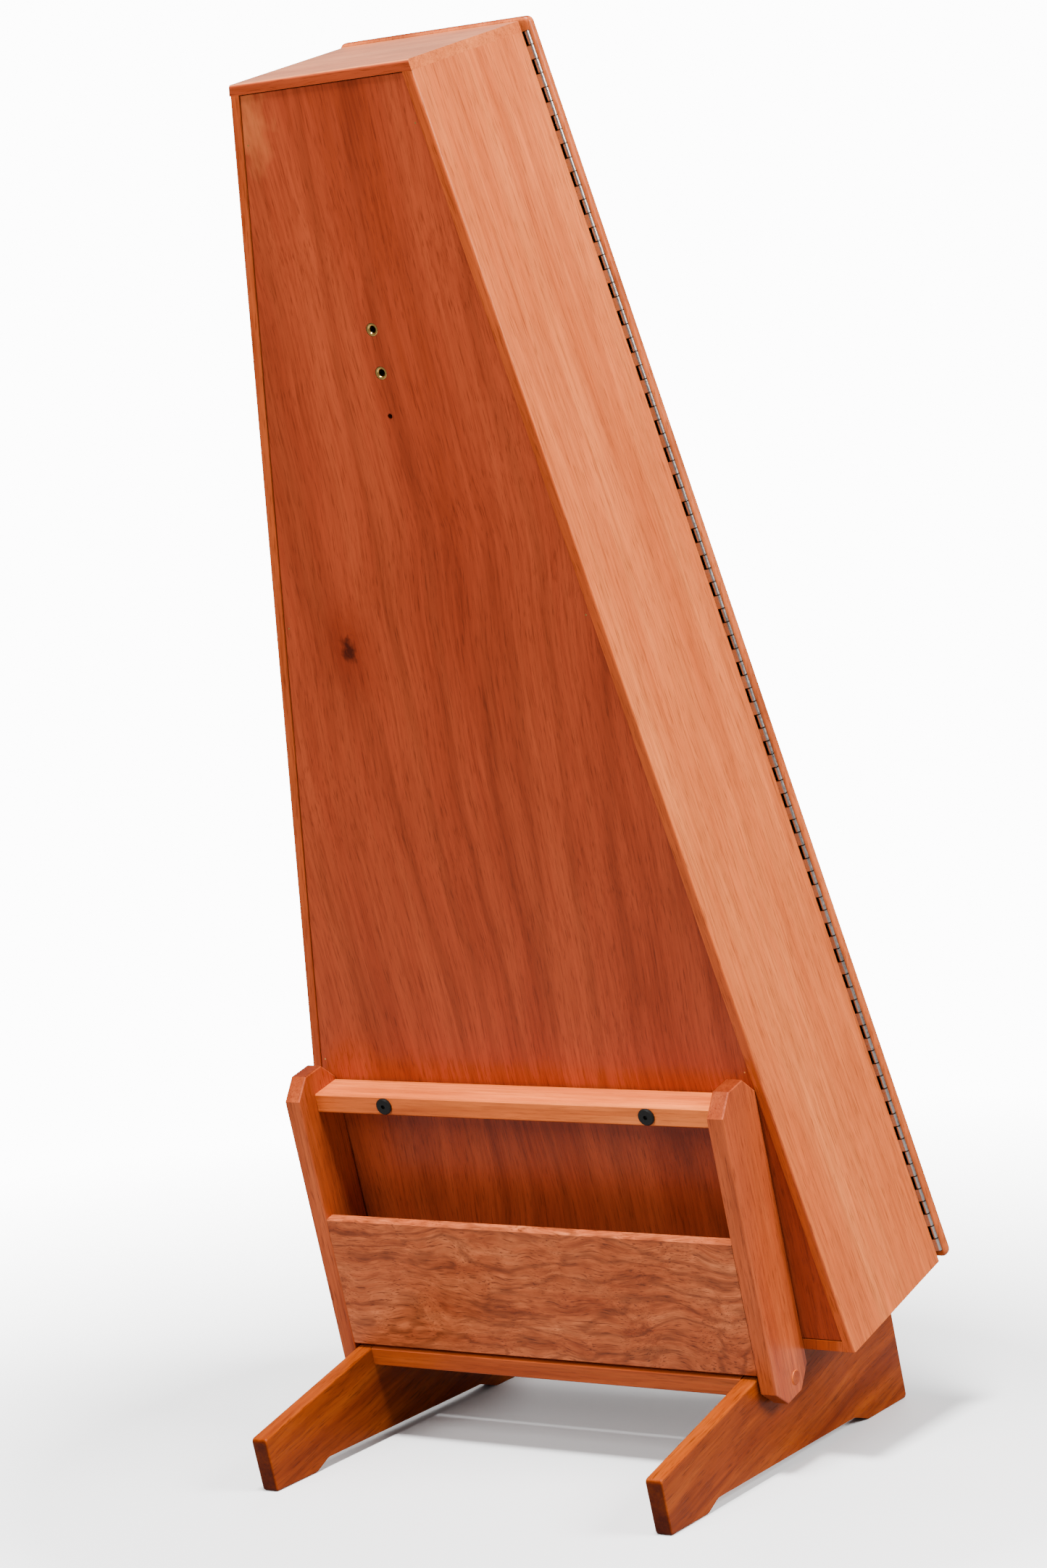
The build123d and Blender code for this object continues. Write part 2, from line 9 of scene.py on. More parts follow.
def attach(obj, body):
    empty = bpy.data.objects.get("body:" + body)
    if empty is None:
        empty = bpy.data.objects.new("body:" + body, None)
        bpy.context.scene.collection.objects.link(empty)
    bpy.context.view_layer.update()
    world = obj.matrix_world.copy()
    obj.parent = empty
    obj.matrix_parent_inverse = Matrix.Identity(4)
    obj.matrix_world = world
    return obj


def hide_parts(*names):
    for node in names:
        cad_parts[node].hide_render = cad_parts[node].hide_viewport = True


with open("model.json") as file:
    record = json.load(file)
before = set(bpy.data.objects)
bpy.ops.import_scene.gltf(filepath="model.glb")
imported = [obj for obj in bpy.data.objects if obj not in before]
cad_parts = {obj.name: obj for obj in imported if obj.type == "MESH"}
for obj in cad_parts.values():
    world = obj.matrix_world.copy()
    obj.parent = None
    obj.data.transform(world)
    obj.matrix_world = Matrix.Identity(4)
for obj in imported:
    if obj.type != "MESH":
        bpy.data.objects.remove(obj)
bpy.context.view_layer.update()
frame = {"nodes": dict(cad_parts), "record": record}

# ---- lean of the case, metres and degrees ----
LEAN = math.radians(13.06)
SLANT = math.radians(9.24)
CASE_FOOT = Vector((0.0, 0.01932, 0.10618))
ACROSS = Vector((1.0, 0.0, 0.0))
DEPTH = Vector((0.0, math.cos(LEAN), math.sin(LEAN)))
UP = Vector((0.0, -math.sin(LEAN), math.cos(LEAN)))

# Directions along and square to the slanted side boards
RIGHT_SIDE_GRAIN = UP * math.cos(SLANT) - ACROSS * math.sin(SLANT)
LEFT_SIDE_GRAIN = UP * math.cos(SLANT) + ACROSS * math.sin(SLANT)
RIGHT_SIDE_NORMAL = ACROSS * math.cos(SLANT) + UP * math.sin(SLANT)

# ---- camera at the photograph's angle ----
CAMERA_PLACE = Vector((1.7549, -2.7575, 0.9266))
CAMERA_AZIMUTH = math.radians(32.568)
CAMERA_ELEVATION = math.radians(5.357)
CAMERA_ROLL = math.radians(-4.398)
CAMERA_LENS = 82.9
SENSOR = 36.0

# ---- studio: metres, watts and world strength ----
WHITE = (1.0, 1.0, 1.0, 1.0)
WORLD_LIGHT = 0.28
BACKDROP_LIGHT = 16.0
FLOOR_HALF = 30.0
FLOOR_FADE_START = 0.5
FLOOR_FADE_END = 1.7
FLOOR_BOUNCE = (0.25, 0.25, 0.25)
LOW_TARGET = Vector((0.0, 0.0, 0.6))
HIGH_TARGET = Vector((0.0, 0.0, 1.2))

# ---- fittings, metres ----
PANEL_RECESS = 0.0012
INSERT_HEIGHTS = (0.9517, 0.9136)
KNUCKLE_PITCH = 0.0127
BARREL_WIDTH = 0.0042
# width of the painted shade strip on the lid leaf
RECESS_SHADE_WIDTH = 0.0045

# ---- marks on the back panel: metres across and up the case ----
KNOT_PLACE = (-0.096, 0.668)
KNOT_SIZE = 0.010
PALE_PLACE = (-0.078, 1.140)
PALE_SIZE = 0.036

# ---- tones that multiply a base colour ----
END_GRAIN_TONE = (0.42, 0.32, 0.22)
# painted shade: darkens faces turned from the lamps, such as the boards' back edges
BACK_EDGE_SHADE = (0.74, 0.56, 0.50)
# painted shade for the gaps between hinge knuckles
SEAM_PAINTED_SHADE = (0.10, 0.09, 0.08)
# painted shade for the lid leaf's strip behind the case leaf's notches
RECESS_PAINTED_SHADE = (0.05, 0.04, 0.035)
STREAK_TONES = ((0.66, 0.58, 0.52), (0.98, 0.97, 0.96), (1.22, 1.2, 1.18))
RIBBON_TONES = ((0.70, 0.62, 0.56), (1.22, 1.2, 1.18))

# ---- lacquered wood: stretch along the grain and noise scale, per metre ----
STREAK_STRETCH = 0.025
STREAK_SCALE = 330.0
PORE_STRETCH = 0.055
PORE_SCALE = 900.0
MATT_SPECULAR = 0.16
THIN_COAT = 0.05


def lean_place(x, w, s):
    """Point at x across, w deep and s up the leaning case, in the row frame."""
    return CASE_FOOT + ACROSS * x + DEPTH * w + UP * s


def reach_along(name, direction):
    """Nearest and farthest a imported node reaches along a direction."""
    reaches = [vertex.co.dot(direction) for vertex in frame["nodes"][name].data.vertices]
    return min(reaches), max(reaches)


# ---- node helpers ----
class Tree:
    """Short calls for building one material's node tree."""

    def __init__(self, name):
        self.material = bpy.data.materials.new(name)
        self.material.use_nodes = True
        self.nodes = self.material.node_tree.nodes
        self.links = self.material.node_tree.links
        self.shader = self.nodes["Principled BSDF"]

    def add(self, kind, **values):
        node = self.nodes.new(kind)
        for key, value in values.items():
            setattr(node, key, value)
        return node

    def link(self, source, target):
        self.links.new(source, target)

    def drive(self, source, name):
        """Feeds one of the shader's inputs."""
        self.link(source, self.shader.inputs[name])

    def set(self, **values):
        """Sets constants on the shader, with underscores for the spaces in their names."""
        for key, value in values.items():
            self.shader.inputs[key.replace("_", " ")].default_value = value

    def place(self):
        """Object coordinates."""
        return self.add("ShaderNodeTexCoord").outputs["Object"]

    def vector(self, operation, first, second):
        """Vector maths between a socket and a constant."""
        node = self.add("ShaderNodeVectorMath", operation=operation)
        self.link(first, node.inputs[0])
        node.inputs[1].default_value = second
        return node

    def along(self, source, direction):
        """Component of a vector along a direction."""
        return self.vector("DOT_PRODUCT", source, direction).outputs["Value"]

    def length(self, source):
        node = self.add("ShaderNodeVectorMath", operation="LENGTH")
        self.link(source, node.inputs[0])
        return node.outputs["Value"]

    def facing(self, direction):
        """How squarely the surface faces a direction of the piece at rest, -1 to 1."""
        normal = self.add("ShaderNodeTexCoord").outputs["Normal"]
        return self.along(normal, direction.normalized())

    def grain_space(self, grain, across):
        """Coordinates turned so that x runs along the grain and y across the face."""
        source = self.place()
        third = grain.cross(across).normalized()
        parts = self.add("ShaderNodeCombineXYZ")
        for index, axis in enumerate((grain, across, third)):
            self.link(self.along(source, axis.normalized()), parts.inputs[index])
        return parts.outputs[0]

    def noise(self, vector, scale, detail=4.0, roughness=0.55):
        node = self.add("ShaderNodeTexNoise")
        self.link(vector, node.inputs["Vector"])
        node.inputs["Scale"].default_value = scale
        node.inputs["Detail"].default_value = detail
        node.inputs["Roughness"].default_value = roughness
        return node.outputs["Fac"]

    def ramp(self, factor, stops):
        node = self.add("ShaderNodeValToRGB")
        self.link(factor, node.inputs["Fac"])
        elements = node.color_ramp.elements
        while len(elements) < len(stops):
            elements.new(0.5)
        for element, (position, colour) in zip(elements, stops):
            element.position = position
            element.color = (*colour, 1.0)
        return node.outputs["Color"]

    def grey(self, factor, low, high, start=0.0, end=1.0):
        """Maps start..end of a factor to low..high."""
        node = self.add("ShaderNodeMapRange")
        self.link(factor, node.inputs["Value"])
        node.inputs["From Min"].default_value = start
        node.inputs["From Max"].default_value = end
        node.inputs["To Min"].default_value = low
        node.inputs["To Max"].default_value = high
        return node.outputs["Result"]

    def mix(self, first, second, factor, blend="MIX"):
        node = self.add("ShaderNodeMix", data_type="RGBA", blend_type=blend)
        factor_socket, first_socket, second_socket = node.inputs[0], node.inputs[6], node.inputs[7]
        for value, socket in ((factor, factor_socket), (first, first_socket), (second, second_socket)):
            if isinstance(value, float):
                socket.default_value = value
            elif isinstance(value, tuple):
                socket.default_value = (*value, 1.0)
            else:
                self.link(value, socket)
        return node.outputs[2]

    def maths(self, operation, first, second=0.0, third=0.0):
        node = self.add("ShaderNodeMath", operation=operation)
        for index, value in enumerate((first, second, third)):
            if isinstance(value, float):
                node.inputs[index].default_value = value
            else:
                self.link(value, node.inputs[index])
        return node.outputs[0]

    def warp(self, vector, amount, scale):
        """Vector pushed about by a slow noise, for grain that wanders."""
        noise = self.add("ShaderNodeTexNoise")
        self.link(vector, noise.inputs["Vector"])
        noise.inputs["Scale"].default_value = scale
        noise.inputs["Detail"].default_value = 2.0
        centred = self.vector("SUBTRACT", noise.outputs["Color"], (0.5, 0.5, 0.5))
        push = self.vector("MULTIPLY_ADD", centred.outputs[0], (amount, amount, amount))
        self.link(vector, push.inputs[2])
        return push.outputs[0]

    def bump(self, height, strength, distance):
        node = self.add("ShaderNodeBump")
        node.inputs["Strength"].default_value = strength
        node.inputs["Distance"].default_value = distance
        self.link(height, node.inputs["Height"])
        self.drive(node.outputs["Normal"], "Normal")


def panel_distance(tree, place, squash, wobble, wobble_scale):
    """Distance from a place on the back panel, with a ragged edge."""
    away = tree.vector("SUBTRACT", tree.place(), lean_place(place[0], PANEL_RECESS, place[1]))
    squashed = tree.vector("MULTIPLY", away.outputs[0], squash)
    return tree.length(tree.warp(squashed.outputs[0], wobble, wobble_scale))


def back_figure(tree, colour):
    """The back panel's knot, the darker grain round it and the paler patch in the top corner."""
    pale = panel_distance(tree, PALE_PLACE, (1.5, 1.0, 0.7), 0.07, 60.0)
    pale_strength = tree.grey(pale, 0.55, 0.0, PALE_SIZE * 0.1, PALE_SIZE)
    colour = tree.mix(colour, (0.60, 0.150, 0.040), pale_strength)
    near = panel_distance(tree, KNOT_PLACE, (1.0, 0.7, 0.7), 0.020, 150.0)
    halo = tree.grey(near, 0.42, 0.0, KNOT_SIZE * 0.8, KNOT_SIZE * 4)
    colour = tree.mix(colour, (0.16, 0.010, 0.0008), halo)
    core = tree.grey(near, 0.9, 0.0, KNOT_SIZE * 0.3, KNOT_SIZE)
    return tree.mix(colour, (0.035, 0.003, 0.0004), core)


def wood(name, grain, across, light, middle, dark, figure=0.35, pores=0.5, wander=0.03, sway=2.2,
         band=20.0, stretch=0.055, lines=0.0, line_scale=3.4, line_stretch=0.16, line_count=75.0,
         line_detail=2.0, rough=0.38, coat=THIN_COAT, specular=MATT_SPECULAR, edge=None,
         edge_shade=BACK_EDGE_SHADE, end_tone=END_GRAIN_TONE, glossy_top=False, marks=None):
    """Lacquered wood: growth bands, ribbon figure, fine streaks, short dark pores and thin growth lines.

    grain and across are directions of the piece at rest. light, middle and dark are the band
    colours. figure, pores and lines are strengths, 0 to 1. wander and sway are how far and how
    often the grain bends. band sets how narrow the bands are. edge is a direction whose faces take
    edge_shade, a painted shade for faces turned from the lamps. glossy_top keeps coat and specular on
    the upward faces only.
    """
    tree = Tree(name)
    straight = tree.grain_space(grain, across)
    bent = tree.warp(straight, wander, sway)

    def along_grain(shrink, scale, detail, roughness=0.6):
        drawn_out = tree.vector("MULTIPLY", bent, (shrink, 1.0, 1.0))
        return tree.noise(drawn_out.outputs[0], scale, detail, roughness)

    bands = along_grain(stretch, band, 6.0, 0.66)
    ribbon = along_grain(stretch * 2.5, band * 3.2, 3.0, 0.5)
    streaks = along_grain(STREAK_STRETCH, STREAK_SCALE, 4.0, 0.65)
    pore_noise = along_grain(PORE_STRETCH, PORE_SCALE, 2.0, 0.5)
    pore_mask = tree.grey(pore_noise, 0.0, 1.0, 0.56, 0.68)

    colour = tree.ramp(bands, [(0.30, dark), (0.5, middle), (0.72, light)])
    streak_tone = tree.ramp(streaks, zip_stops((0.28, 0.5, 0.75), STREAK_TONES))
    colour = tree.mix(colour, streak_tone, 0.8, "MULTIPLY")
    ribbon_tone = tree.ramp(ribbon, zip_stops((0.3, 0.7), RIBBON_TONES))
    colour = tree.mix(colour, ribbon_tone, figure, "MULTIPLY")
    pore_colour = tuple(value * 0.3 for value in dark)
    colour = tree.mix(colour, pore_colour, tree.maths("MULTIPLY", pore_mask, pores))
    if lines:
        rings = along_grain(line_stretch, line_scale, line_detail, 0.45)
        wave = tree.maths("SINE", tree.maths("MULTIPLY", rings, line_count))
        colour = tree.mix(colour, pore_colour, tree.grey(wave, 0.0, lines, 0.45, 1.0))
    if marks:
        colour = marks(tree, colour)
    end_grain = tree.maths("ABSOLUTE", tree.facing(grain))
    colour = tree.mix(colour, end_tone, tree.grey(end_grain, 0.0, 1.0, 0.5, 0.9), "MULTIPLY")
    # painted shade: faces turned toward edge are darkened as if they were in shade
    if edge:
        on_shaded_edge = tree.grey(tree.facing(edge), 0.0, 1.0, 0.6, 0.9)
        colour = tree.mix(colour, edge_shade, on_shaded_edge, "MULTIPLY")
    tree.drive(colour, "Base Color")

    rough_noise = tree.noise(straight, 14.0, 3.0, 0.5)
    tree.drive(tree.grey(rough_noise, rough - 0.05, rough + 0.09, 0.3, 0.7), "Roughness")
    relief = tree.maths("MULTIPLY", pore_mask, -1.0)
    tree.bump(tree.maths("MULTIPLY_ADD", streaks, 0.35, relief), 0.22, 0.0003)
    tree.set(Coat_Weight=coat, Coat_Roughness=0.2, Specular_IOR_Level=specular)
    if glossy_top:
        upward = tree.facing(UP)
        tree.drive(tree.grey(upward, THIN_COAT, coat, 0.5, 0.9), "Coat Weight")
        tree.drive(tree.grey(upward, MATT_SPECULAR, specular, 0.5, 0.9), "Specular IOR Level")
    return tree.material


def zip_stops(positions, colours):
    """Colour ramp stops."""
    return list(zip(positions, colours))


def knuckle_seam_shade(tree, tone):
    """Painted shade: a dark line where each hinge knuckle meets the next."""
    start = reach_along("hinge_case_leaf", RIGHT_SIDE_GRAIN)[0]
    along_hinge = tree.along(tree.place(), RIGHT_SIDE_GRAIN)
    knuckles = tree.maths("MULTIPLY_ADD", along_hinge, 1 / KNUCKLE_PITCH, 0.5 - start / KNUCKLE_PITCH)
    offset = tree.maths("SUBTRACT", tree.maths("FRACT", knuckles), 0.5)
    seam_shade_mask = tree.grey(tree.maths("ABSOLUTE", offset), 1.0, 0.0, 0.03, 0.06)
    return tree.mix(tone, SEAM_PAINTED_SHADE, seam_shade_mask, "MULTIPLY")


def leaf_recess_shade(tree, tone):
    """Painted shade: a dark strip of the lid leaf beside the barrel, deep behind the notches of the case
    leaf; the recess gives part of this shade, the rest is painted.
    """
    barrel_reach = reach_along("hinge_lid_leaf", RIGHT_SIDE_NORMAL)[1]
    barrel_side = barrel_reach - BARREL_WIDTH
    outward = tree.along(tree.place(), RIGHT_SIDE_NORMAL)
    low = tree.grey(outward, 0.0, 1.0, barrel_side - RECESS_SHADE_WIDTH, barrel_side - RECESS_SHADE_WIDTH + 0.0005)
    high = tree.grey(outward, 1.0, 0.0, barrel_side - 0.0003, barrel_side)
    return tree.mix(tone, RECESS_PAINTED_SHADE, tree.maths("MULTIPLY", low, high), "MULTIPLY")


def metal(name, colour, rough, seam_shade=False, recess_shade=False):
    """Plated or bare metal with fine handling marks, and on the hinge optional painted shade in the
    knuckle seams and behind the notches.
    """
    tree = Tree(name)
    space = tree.place()
    handling = tree.noise(space, 400.0, 4.0, 0.6)
    cloud = tree.noise(space, 22.0, 3.0, 0.5)
    dull = tuple(value * 0.82 for value in colour)
    bright = tuple(min(1.0, value * 1.08) for value in colour)
    tone = tree.ramp(cloud, [(0.3, dull), (0.7, bright)])
    # painted shade in the knuckle seams
    if seam_shade:
        tone = knuckle_seam_shade(tree, tone)
    # painted shade on the lid leaf behind the notches
    if recess_shade:
        tone = leaf_recess_shade(tree, tone)
    tree.drive(tone, "Base Color")
    tree.drive(tree.grey(handling, rough * 0.7, rough * 1.4, 0.3, 0.7), "Roughness")
    tree.bump(handling, 0.1, 0.0001)
    tree.set(Metallic=1.0)
    return tree.material


def plain(name, colour, rough, scale, strength, contrast=0.15, sheen=0.0, specular=0.5):
    """Plastic, felt or oxide finish with a fine surface."""
    tree = Tree(name)
    grain = tree.noise(tree.place(), scale, 5.0, 0.6)
    darker = tuple(value * (1 - contrast) for value in colour)
    lighter = tuple(value * (1 + contrast) for value in colour)
    tree.drive(tree.ramp(grain, [(0.3, darker), (0.7, lighter)]), "Base Color")
    tree.drive(tree.grey(grain, rough * 0.85, min(1.0, rough * 1.15)), "Roughness")
    tree.bump(grain, strength, 0.0003)
    tree.set(Sheen_Weight=sheen, Specular_IOR_Level=specular)
    return tree.material


# ---- materials of the case ----
materials = {
    # edge=-DEPTH paints shade on the back edges of the side and end boards
    "case_side_right": wood(
        "case_side_right", RIGHT_SIDE_GRAIN, DEPTH, edge=-DEPTH, wander=0.015, band=26.0,
        light=(0.62, 0.160, 0.038),
        middle=(0.53, 0.116, 0.0250),
        dark=(0.42, 0.078, 0.0145),
    ),
    "case_side_left": wood(
        "case_side_left", LEFT_SIDE_GRAIN, DEPTH, edge=-DEPTH, wander=0.015, band=26.0,
        light=(0.60, 0.152, 0.036),
        middle=(0.52, 0.110, 0.0235),
        dark=(0.40, 0.072, 0.013),
    ),
    "case_ends": wood(
        "case_ends", ACROSS, DEPTH, wander=0.02, coat=0.9, specular=0.5, glossy_top=True,
        edge=-DEPTH, edge_shade=(0.60, 0.30, 0.22), end_tone=(1.0, 0.78, 0.50),
        light=(0.62, 0.20, 0.075),
        middle=(0.52, 0.150, 0.050),
        dark=(0.40, 0.095, 0.026),
    ),
    "back_veneer": wood(
        "back_veneer", UP, ACROSS, figure=0.3, pores=0.42, wander=0.075, sway=1.9, band=15.0,
        lines=0.22, marks=back_figure,
        light=(0.39, 0.066, 0.0200),
        middle=(0.315, 0.0450, 0.0135),
        dark=(0.20, 0.0225, 0.0058),
    ),
    "lid_wood": wood(
        "lid_wood", RIGHT_SIDE_GRAIN, ACROSS, wander=0.05, lines=0.3,
        light=(0.58, 0.140, 0.036),
        middle=(0.46, 0.095, 0.020),
        dark=(0.31, 0.052, 0.009),
    ),
    "inner_wood": wood(
        "inner_wood", UP, ACROSS, coat=0.0, rough=0.55,
        light=(0.70, 0.42, 0.17),
        middle=(0.60, 0.33, 0.12),
        dark=(0.44, 0.21, 0.06),
    ),
}

# ---- materials of the string field ----
materials.update({
    "maple": wood(
        "maple", UP, DEPTH, pores=0.1, figure=0.2,
        light=(0.82, 0.55, 0.25),
        middle=(0.74, 0.46, 0.18),
        dark=(0.62, 0.34, 0.11),
    ),
    "spruce": wood(
        "spruce", UP, ACROSS, pores=0.05, figure=0.15, wander=0.01, band=90.0,
        light=(0.84, 0.53, 0.19),
        middle=(0.76, 0.43, 0.13),
        dark=(0.58, 0.27, 0.06),
    ),
    "rosette_wood": wood(
        "rosette_wood", ACROSS, UP,
        light=(0.22, 0.07, 0.02),
        middle=(0.14, 0.038, 0.01),
        dark=(0.07, 0.018, 0.005),
    ),
    "saddle_plastic": plain("saddle_plastic", (0.80, 0.77, 0.66), 0.35, 300.0, 0.05),
    "pin_steel": metal("pin_steel", (0.46, 0.48, 0.52), 0.34),
    "string_steel": metal("string_steel", (0.80, 0.81, 0.83), 0.22),
    "string_bronze": metal("string_bronze", (0.78, 0.46, 0.22), 0.28),
})

# ---- materials of the stand ----
materials.update({
    "foot_wood": wood(
        "foot_wood", DEPTH, UP, figure=0.6, wander=0.02, sway=5.0, band=30.0, coat=0.02, specular=0.08,
        light=(0.32, 0.066, 0.0050),
        middle=(0.22, 0.035, 0.0018),
        dark=(0.125, 0.0135, 0.0005),
    ),
    "upright_wood": wood(
        "upright_wood", UP, DEPTH, wander=0.012, band=26.0,
        light=(0.50, 0.104, 0.027),
        middle=(0.38, 0.065, 0.0145),
        dark=(0.25, 0.032, 0.0055),
    ),
    "rail_wood": wood(
        "rail_wood", ACROSS, DEPTH, wander=0.008, band=30.0, pores=0.25,
        light=(0.80, 0.205, 0.040),
        middle=(0.67, 0.140, 0.0220),
        dark=(0.48, 0.076, 0.0095),
    ),
    "stretcher_wood": wood(
        "stretcher_wood", ACROSS, DEPTH, wander=0.008, band=30.0, pores=0.3,
        light=(0.50, 0.115, 0.024),
        middle=(0.39, 0.070, 0.011),
        dark=(0.26, 0.034, 0.004),
    ),
    "figured_panel": wood(
        "figured_panel", ACROSS, UP, figure=0.8, pores=0.7, wander=0.06, sway=9.0, band=48.0,
        stretch=0.16, lines=0.42, line_scale=9.0, line_count=120.0, line_detail=5.0,
        light=(0.54, 0.150, 0.052),
        middle=(0.41, 0.092, 0.0270),
        dark=(0.24, 0.0400, 0.0100),
    ),
})

# ---- materials of the fittings ----
HINGE_NICKEL = (0.44, 0.41, 0.385)
materials.update({
    "nickel": metal("nickel", (0.50, 0.47, 0.44), 0.30),
    # the hinge materials carry painted shade: dark knuckle seams, and on the lid leaf a dark strip
    # behind the notches
    "hinge_nickel": metal("hinge_nickel", HINGE_NICKEL, 0.32, seam_shade=True),
    "hinge_lid_nickel": metal("hinge_lid_nickel", HINGE_NICKEL, 0.32, seam_shade=True, recess_shade=True),
    "brass": metal("brass", (0.86, 0.54, 0.16), 0.24),
    "black_steel": plain("black_steel", (0.006, 0.0055, 0.005), 0.38, 500.0, 0.15, specular=0.2),
    "washer_plastic": plain("washer_plastic", (0.035, 0.032, 0.030), 0.55, 300.0, 0.08),
    "felt": plain("felt", (0.05, 0.045, 0.045), 0.95, 900.0, 0.8, contrast=0.35, sheen=0.5),
})

# The record names a slot for every node; a few nodes take a material of their own
SLOT_MATERIALS = {entry["node"]: entry["material_slot"] for entry in frame["record"]["subparts"]}
NODE_MATERIALS = {
    "right_side_board": "case_side_right",
    "left_side_board": "case_side_left",
    "top_board": "case_ends",
    "bottom_board": "case_side_left",
    "wood_plugs": "rail_wood",
    "stretcher": "stretcher_wood",
    "hinge_case_leaf": "hinge_nickel",
    "hinge_lid_leaf": "hinge_lid_nickel",
}


def dress_nodes():
    """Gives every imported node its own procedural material."""
    for name, piece in frame["nodes"].items():
        chosen = NODE_MATERIALS.get(name, SLOT_MATERIALS[name])
        piece.data.materials.clear()
        piece.data.materials.append(materials[chosen])


def make_camera():
    """Camera at the photograph's azimuth, height, roll and lens."""
    data = bpy.data.cameras.new("camera")
    data.lens = CAMERA_LENS
    data.sensor_width = SENSOR
    data.sensor_fit = "AUTO"
    camera = bpy.data.objects.new("camera", data)
    bpy.context.collection.objects.link(camera)
    level = math.cos(CAMERA_ELEVATION)
    back = Vector((
        math.sin(CAMERA_AZIMUTH) * level,
        -math.cos(CAMERA_AZIMUTH) * level,
        math.sin(CAMERA_ELEVATION),
    ))
    right = (-back).cross(Vector((0, 0, 1))).normalized()
    above = back.cross(right)
    rolled_right = right * math.cos(CAMERA_ROLL) + above * math.sin(CAMERA_ROLL)
    rolled_above = above * math.cos(CAMERA_ROLL) - right * math.sin(CAMERA_ROLL)
    turn = Matrix((rolled_right, rolled_above, back)).transposed().to_4x4()
    camera.matrix_world = Matrix.Translation(CAMERA_PLACE) @ turn
    bpy.context.scene.camera = camera


def area_light(name, place, target, size, energy, glossy=True):
    """Soft square studio light aimed at a point; glossy says if it shows in reflections."""
    data = bpy.data.lights.new(name, "AREA")
    data.shape = "RECTANGLE"
    data.size = size
    data.size_y = size
    data.energy = energy
    light = bpy.data.objects.new(name, data)
    bpy.context.collection.objects.link(light)
    light.location = place
    light.rotation_euler = (target - Vector(place)).to_track_quat("-Z", "Y").to_euler()
    light.visible_glossy = glossy


def make_floor():
    """Pale floor that fades into the backdrop and throws little light back up."""
    corners = [(-FLOOR_HALF, -FLOOR_HALF, 0), (FLOOR_HALF, -FLOOR_HALF, 0)]
    corners += [(FLOOR_HALF, FLOOR_HALF, 0), (-FLOOR_HALF, FLOOR_HALF, 0)]
    mesh = bpy.data.meshes.new("floor")
    mesh.from_pydata(corners, [], [(0, 1, 2, 3)])
    floor = bpy.data.objects.new("floor", mesh)
    bpy.context.collection.objects.link(floor)
    tree = Tree("floor")
    space = tree.place()
    tone = tree.ramp(tree.noise(space, 3.0), [(0.3, (0.93, 0.93, 0.93)), (0.7, (0.95, 0.95, 0.95))])
    seen = tree.add("ShaderNodeLightPath").outputs["Is Camera Ray"]
    tree.drive(tree.mix(FLOOR_BOUNCE, tone, seen), "Base Color")
    tree.drive(tree.grey(tree.length(space), 1.0, 0.0, FLOOR_FADE_START, FLOOR_FADE_END), "Alpha")
    tree.set(Roughness=0.75)
    floor.data.materials.append(tree.material)


def make_world():
    """Even, dim white light, behind which the camera sees a bright backdrop."""
    world = bpy.data.worlds.new("studio")
    bpy.context.scene.world = world
    world.use_nodes = True
    nodes = world.node_tree.nodes
    links = world.node_tree.links
    ambient = nodes["Background"]
    ambient.inputs["Color"].default_value = WHITE
    ambient.inputs["Strength"].default_value = WORLD_LIGHT
    backdrop = nodes.new("ShaderNodeBackground")
    backdrop.inputs["Strength"].default_value = BACKDROP_LIGHT
    path = nodes.new("ShaderNodeLightPath")
    blend = nodes.new("ShaderNodeMixShader")
    links.new(path.outputs["Is Camera Ray"], blend.inputs[0])
    links.new(ambient.outputs[0], blend.inputs[1])
    links.new(backdrop.outputs[0], blend.inputs[2])
    links.new(blend.outputs[0], nodes["World Output"].inputs["Surface"])


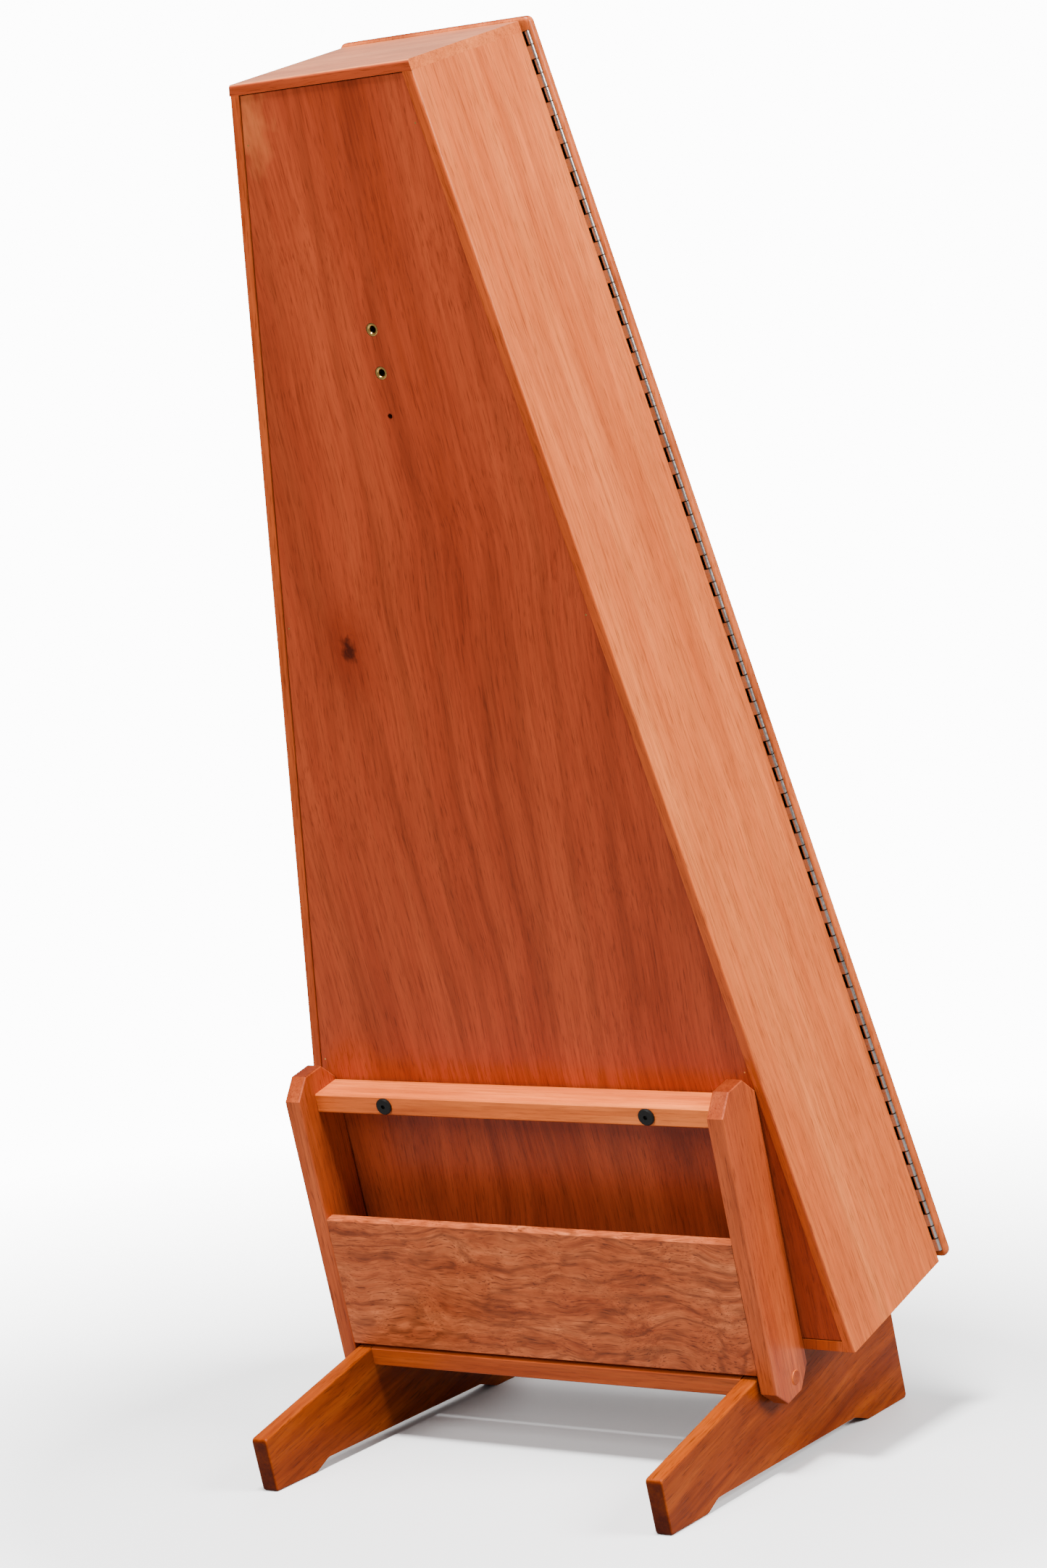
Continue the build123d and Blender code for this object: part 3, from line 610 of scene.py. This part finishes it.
def make_lamps():
    """Key from the hinge side, fill from behind, front for the lid, and a small sharp one above."""
    area_light("key", (3.6, 0.1, 2.6), HIGH_TARGET, 1.7, 300.0)
    area_light("fill", (-0.6, -3.0, 2.5), HIGH_TARGET, 2.0, 118.0, glossy=False)
    area_light("front", (-1.2, 3.6, 2.8), HIGH_TARGET, 2.4, 90.0, glossy=False)
    area_light("top", (0.3, -1.25, 4.1), LOW_TARGET, 0.8, 450.0)


def spun_mesh(name, profile, centre, axis, segments=48):
    """Ring of faces made by turning a closed profile of (radius, depth) points about an axis."""
    side = axis.orthogonal().normalized()
    other = axis.cross(side)
    points = []
    for step in range(segments):
        turn = 2 * math.pi * step / segments
        spoke = side * math.cos(turn) + other * math.sin(turn)
        points += [centre + spoke * radius + axis * depth for radius, depth in profile]
    count = len(profile)
    faces = []
    for step in range(segments):
        here = step * count
        there = (step + 1) % segments * count
        for k in range(count):
            after = (k + 1) % count
            faces.append((here + k, here + after, there + after, there + k))
    mesh = bpy.data.meshes.new(name)
    mesh.from_pydata(points, [], faces)
    bm = bmesh.new()
    bm.from_mesh(mesh)
    bmesh.ops.recalc_face_normals(bm, faces=bm.faces)
    bm.to_mesh(mesh)
    bm.free()
    mesh.shade_smooth()
    return mesh


def threaded_insert_profile():
    """Flanged insert: rolled rim, chamfered mouth and a threaded bore, metres."""
    length = 0.012
    root = 0.0031
    crest = 0.00262
    pitch = 0.00127
    first_thread = 0.0013
    turns = 8
    outside = [(0.0052, length), (0.0058, 0.0115), (0.0058, 0.0005), (0.0055, 0.0001), (0.0050, 0.0)]
    mouth = [(0.0042, 0.0001), (0.0038, 0.0004), (0.0033, 0.0010)]
    thread = []
    for k in range(turns):
        start = first_thread + k * pitch
        thread += [(root, start), (crest, start + pitch / 2)]
    return outside + mouth + thread + [(root, length)]


def make_inserts():
    """The two brass inserts of the back panel, with thread ridges and rims."""
    for index, height in enumerate(INSERT_HEIGHTS):
        name = f"threaded_insert_{index}"
        mouth = lean_place(0.0, PANEL_RECESS, height)
        piece = bpy.data.objects.new(name, spun_mesh(name, threaded_insert_profile(), mouth, DEPTH))
        bpy.context.collection.objects.link(piece)
        piece.data.materials.append(materials["brass"])
        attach(piece, "case_and_stand")
        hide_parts("accessory_inserts")


make_camera()
make_floor()
make_world()
make_lamps()
dress_nodes()
make_inserts()
